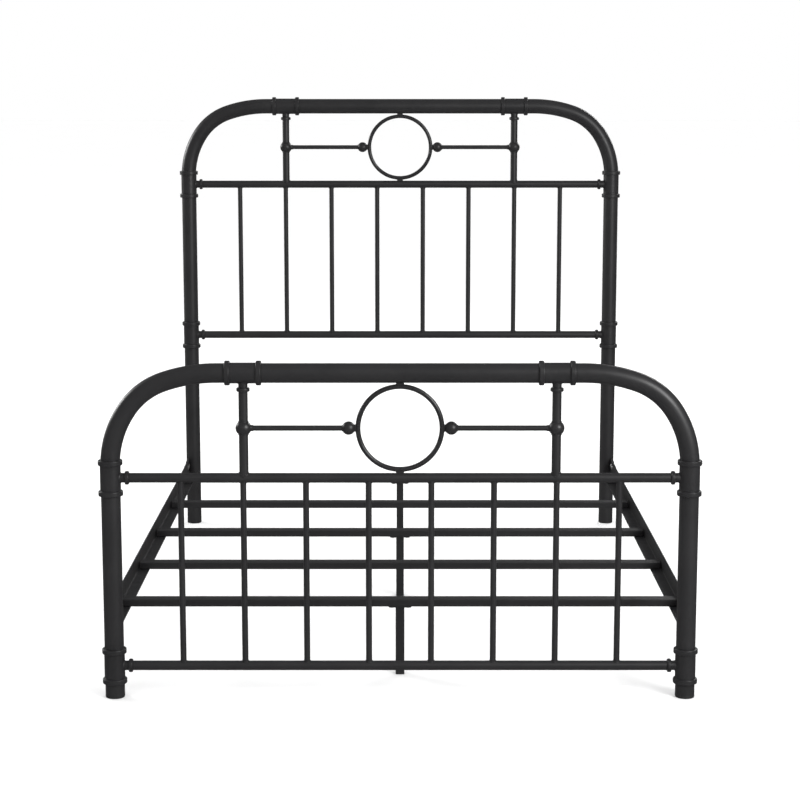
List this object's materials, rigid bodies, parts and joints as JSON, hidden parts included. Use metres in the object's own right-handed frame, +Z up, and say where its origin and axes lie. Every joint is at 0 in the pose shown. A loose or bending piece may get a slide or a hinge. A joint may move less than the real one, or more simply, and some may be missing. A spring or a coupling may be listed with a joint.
{
  "type": "metal bed frame",
  "caption": "Arched tubular metal bed frame with head and foot ends of spindles, posts and a central ring, joined by angle-iron side rails, cross slats and centre legs.",
  "frame": {"origin": "on the floor, midway between the headboard and the footboard and midway between the legs", "axes": "+X to the right seen from the foot of the bed, +Y from the footboard to the headboard, +Z up"},
  "size_m": [1.568, 2.1598, 1.539],
  "materials": {
    "coated_tube": "satin charcoal-black powder coat",
    "coated_castings": "satin charcoal-black powder coat over slightly rough castings",
    "coated_platform": "satin black powder coat",
    "black_plastic": "matt moulded black plastic",
    "zinc_plated_steel": "bright zinc plate"
  },
  "bodies": {
    "frame": {"centre_leg_1": "coated_platform", "centre_leg_2": "coated_platform", "centre_leg_3": "coated_platform", "footboard_bars": "coated_tube", "footboard_knuckles": "coated_castings", "footboard_left_bend": "coated_tube", "footboard_left_leg": "coated_tube", "footboard_left_post": "coated_tube", "footboard_leg_caps": "black_plastic", "footboard_lower_rail": "coated_tube", "footboard_lower_tees": "coated_castings", "footboard_rail_brackets": "coated_tube", "footboard_right_bend": "coated_tube", "footboard_right_leg": "coated_tube", "footboard_right_post": "coated_tube", "footboard_ring": "coated_tube", "footboard_ring_balls": "coated_castings", "footboard_ring_studs": "coated_tube", "footboard_spindles": "coated_tube", "footboard_top_tees": "coated_castings", "footboard_top_tube": "coated_tube", "footboard_upper_rail": "coated_tube", "footboard_upper_tees": "coated_castings", "headboard_bars": "coated_tube", "headboard_knuckles": "coated_castings", "headboard_left_bend": "coated_tube", "headboard_left_leg": "coated_tube", "headboard_left_post": "coated_tube", "headboard_leg_caps": "black_plastic", "headboard_lower_rail": "coated_tube", "headboard_lower_tees": "coated_castings", "headboard_rail_brackets": "coated_tube", "headboard_right_bend": "coated_tube", "headboard_right_leg": "coated_tube", "headboard_right_post": "coated_tube", "headboard_ring": "coated_tube", "headboard_ring_balls": "coated_castings", "headboard_ring_studs": "coated_tube", "headboard_spindles": "coated_tube", "headboard_top_tees": "coated_castings", "headboard_top_tube": "coated_tube", "headboard_upper_rail": "coated_tube", "headboard_upper_tees": "coated_castings", "leg_bolts": "zinc_plated_steel", "leg_inserts": "zinc_plated_steel", "rail_bolts": "zinc_plated_steel", "rail_nuts": "zinc_plated_steel", "side_rail_left": "coated_platform", "side_rail_right": "coated_platform", "slat_1": "coated_platform", "slat_2": "coated_platform", "slat_3": "coated_platform", "slat_4": "coated_platform", "slat_5": "coated_platform", "slat_bolts": "zinc_plated_steel", "weld_nuts": "zinc_plated_steel"},
    "glide_1_body": {"glide_1": "black_plastic"},
    "glide_2_body": {"glide_2": "black_plastic"},
    "glide_3_body": {"glide_3": "black_plastic"}
  },
  "joints": [
    {"name": "glide_1_level", "type": "slide", "parent": "frame", "child": "glide_1_body", "axis": [0, 0, 1], "range_m": [-0.015, 0]},
    {"name": "glide_2_level", "type": "slide", "parent": "frame", "child": "glide_2_body", "axis": [0, 0, 1], "range_m": [-0.015, 0]},
    {"name": "glide_3_level", "type": "slide", "parent": "frame", "child": "glide_3_body", "axis": [0, 0, 1], "range_m": [-0.015, 0]}
  ]
}
